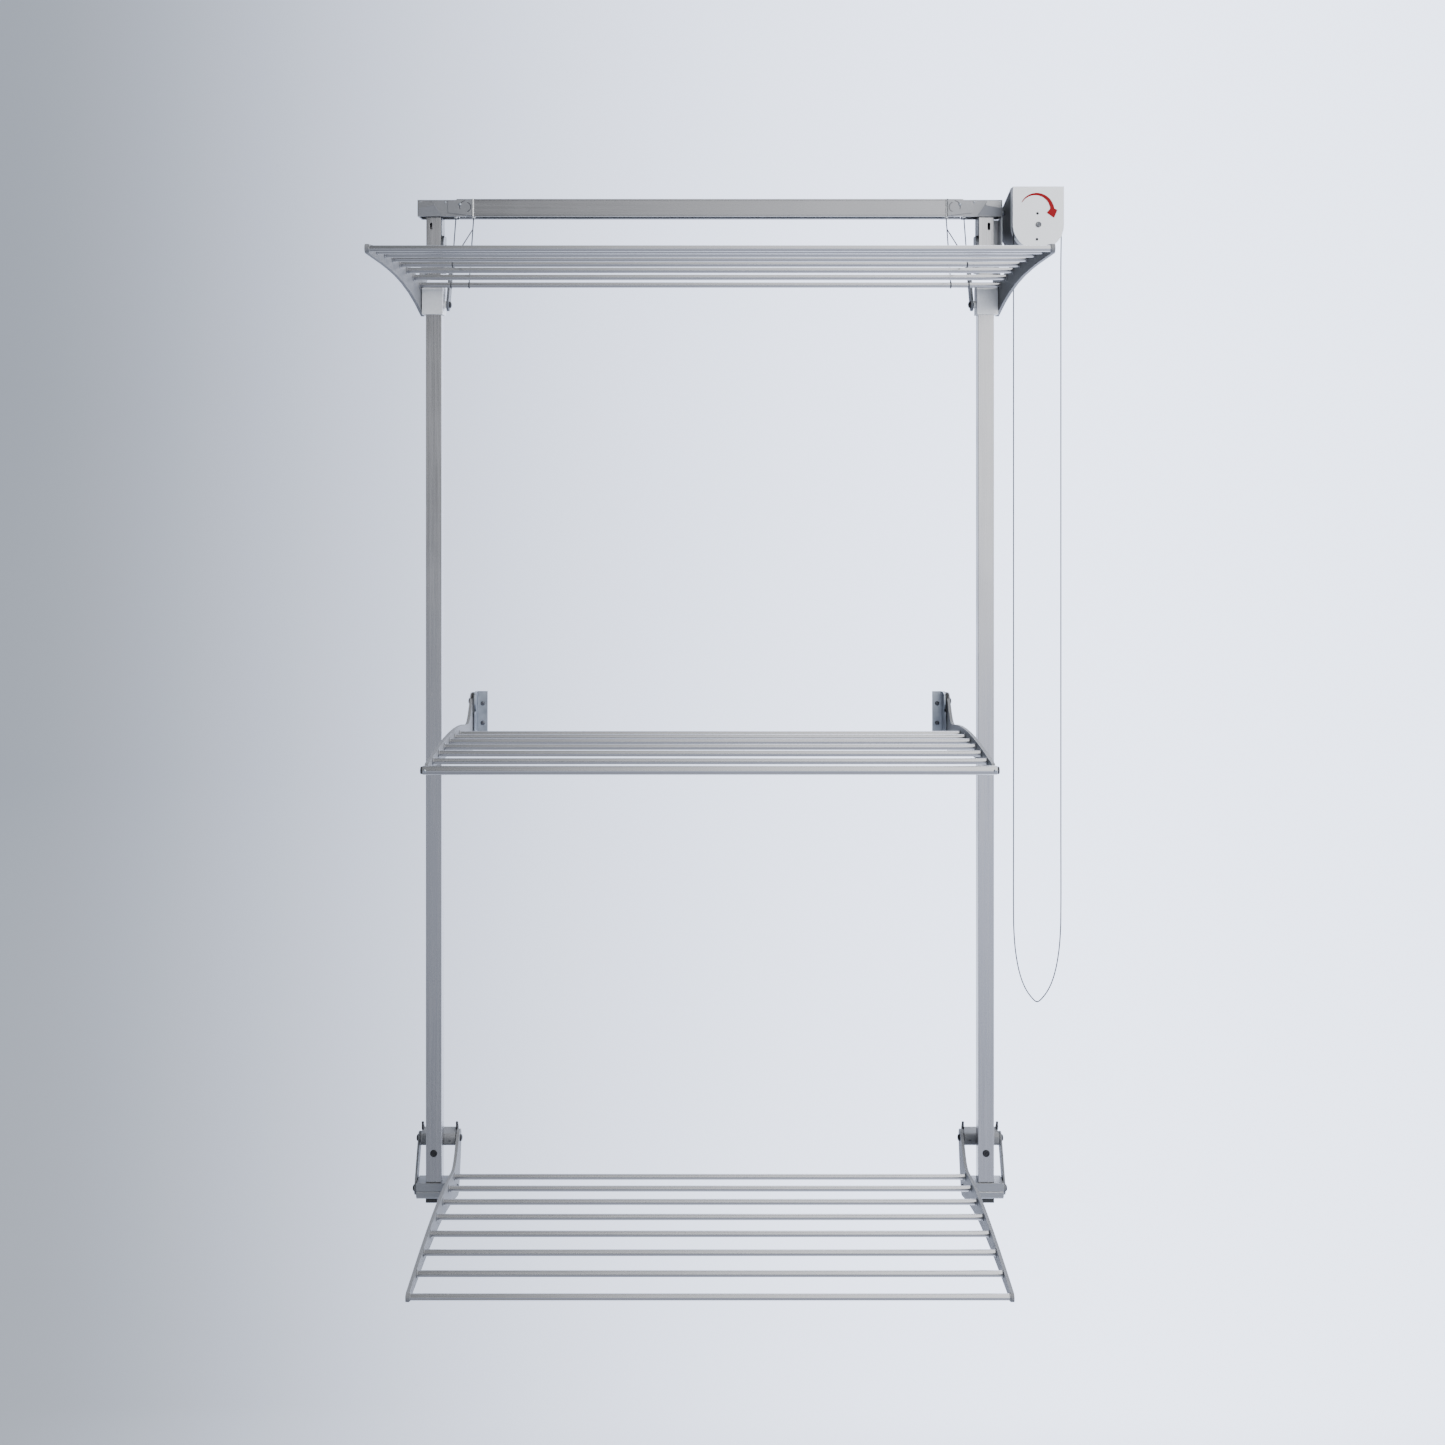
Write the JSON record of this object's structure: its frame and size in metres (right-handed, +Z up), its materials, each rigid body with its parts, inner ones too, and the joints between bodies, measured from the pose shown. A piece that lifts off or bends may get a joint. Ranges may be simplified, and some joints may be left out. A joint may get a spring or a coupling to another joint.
{
  "type": "wall-mounted folding drying rack",
  "caption": "Tall wall-mounted drying rack: horizontal rod shelves on a swinging frame that a looped pull cord lifts flat against the wall.",
  "frame": {"origin": "centre of the top bar's back face, on the wall plane", "axes": "+X to the right seen from the room, +Y into the wall, +Z up; the shelves reach out along -Y"},
  "size_m": [1.292, 0.598, 2.0256],
  "materials": {
    "aluminium_profile": "satin anodised",
    "aluminium_rod": "satin anodised",
    "silver_paint": "satin silver-grey powder coat",
    "steel_plate": "satin",
    "grey_plastic": "fine matte moulding",
    "white_nylon": "smooth moulding",
    "black_rubber": "matte",
    "grey_cord": "braided"
  },
  "bodies": {
    "wall_fixings": {"top_bar": "aluminium_profile", "left_end_bracket": "silver_paint", "left_leg": "aluminium_profile", "mid_left_wall_bracket": "steel_plate", "bottom_left_wall_bracket": "silver_paint", "left_lift_cord": "grey_cord", "right_end_bracket": "silver_paint", "right_leg": "aluminium_profile", "mid_right_wall_bracket": "steel_plate", "bottom_right_wall_bracket": "silver_paint", "right_lift_cord": "grey_cord", "drive_housing": "grey_plastic", "drive_cover": "grey_plastic", "pull_cord": "grey_cord"},
    "top_shelf": {"top_left_arm": "silver_paint", "top_right_arm": "silver_paint", "top_rod_1": "aluminium_rod", "top_rod_2": "aluminium_rod", "top_rod_3": "aluminium_rod", "top_rod_4": "aluminium_rod", "top_rod_5": "aluminium_rod", "top_rod_6": "aluminium_rod", "top_rod_7": "aluminium_rod", "top_rod_8": "aluminium_rod", "top_left_link": "steel_plate", "top_right_link": "steel_plate"},
    "mid_shelf": {"mid_left_arm": "silver_paint", "mid_right_arm": "silver_paint", "mid_rod_1": "aluminium_rod", "mid_rod_2": "aluminium_rod", "mid_rod_3": "aluminium_rod", "mid_rod_4": "aluminium_rod", "mid_rod_5": "aluminium_rod", "mid_rod_6": "aluminium_rod", "mid_front_rail": "aluminium_rod"},
    "bottom_shelf": {"bottom_left_arm": "silver_paint", "bottom_right_arm": "silver_paint", "bottom_rod_1": "aluminium_rod", "bottom_rod_2": "aluminium_rod", "bottom_rod_3": "aluminium_rod", "bottom_rod_4": "aluminium_rod", "bottom_rod_5": "aluminium_rod", "bottom_rod_6": "aluminium_rod", "bottom_rod_7": "aluminium_rod", "bottom_rod_8": "aluminium_rod", "bottom_left_link": "steel_plate", "bottom_right_link": "steel_plate"},
    "swinging_frame": {"left_upright": "aluminium_profile", "left_sleeve": "silver_paint", "left_foot_crosspiece": "silver_paint", "left_foot_pad": "black_rubber", "right_upright": "aluminium_profile", "right_sleeve": "silver_paint", "right_foot_crosspiece": "silver_paint", "right_foot_pad": "black_rubber"},
    "drive_shaft_group": {"drive_shaft": "steel_plate", "left_spool": "white_nylon", "right_spool": "white_nylon"},
    "cord_wheel_group": {"cord_wheel": "white_nylon", "worm_shaft": "steel_plate"}
  },
  "joints": [
    {"name": "top_fold", "type": "hinge", "parent": "wall_fixings", "child": "top_shelf", "pos_m": [0, -0.024, -0.115], "axis": [-1, 0, 0], "range_deg": [0, 86], "deforming": ["left_lift_cord", "right_lift_cord"]},
    {"name": "mid_fold", "type": "hinge", "parent": "wall_fixings", "child": "mid_shelf", "pos_m": [0, -0.024, -1], "axis": [-1, 0, 0], "range_deg": [0, 86]},
    {"name": "bottom_fold", "type": "hinge", "parent": "wall_fixings", "child": "bottom_shelf", "pos_m": [0, -0.024, -1.888], "axis": [-1, 0, 0], "range_deg": [0, 86]},
    {"name": "frame_swing", "type": "hinge", "parent": "top_shelf", "child": "swinging_frame", "pos_m": [0, -0.067, -0.198], "axis": [-1, 0, 0], "range_deg": [-86, 0]},
    {"name": "drive_shaft_turn", "type": "hinge", "parent": "wall_fixings", "child": "drive_shaft_group", "pos_m": [0, -0.03, -0.008], "axis": [-1, 0, 0], "range_deg": [0, 843]},
    {"name": "cord_wheel_turn", "type": "hinge", "parent": "wall_fixings", "child": "cord_wheel_group", "pos_m": [0.6467, -0.12, -0.046], "axis": [0, 1, 0], "range_deg": [0, 4215]}
  ],
  "couplings": [
    {"joint": "mid_fold", "follows": "top_fold", "ratio": 1},
    {"joint": "bottom_fold", "follows": "top_fold", "ratio": 1},
    {"joint": "frame_swing", "follows": "top_fold", "ratio": -1},
    {"joint": "drive_shaft_turn", "follows": "top_fold", "ratio": 9.8},
    {"joint": "cord_wheel_turn", "follows": "top_fold", "ratio": 49}
  ]
}
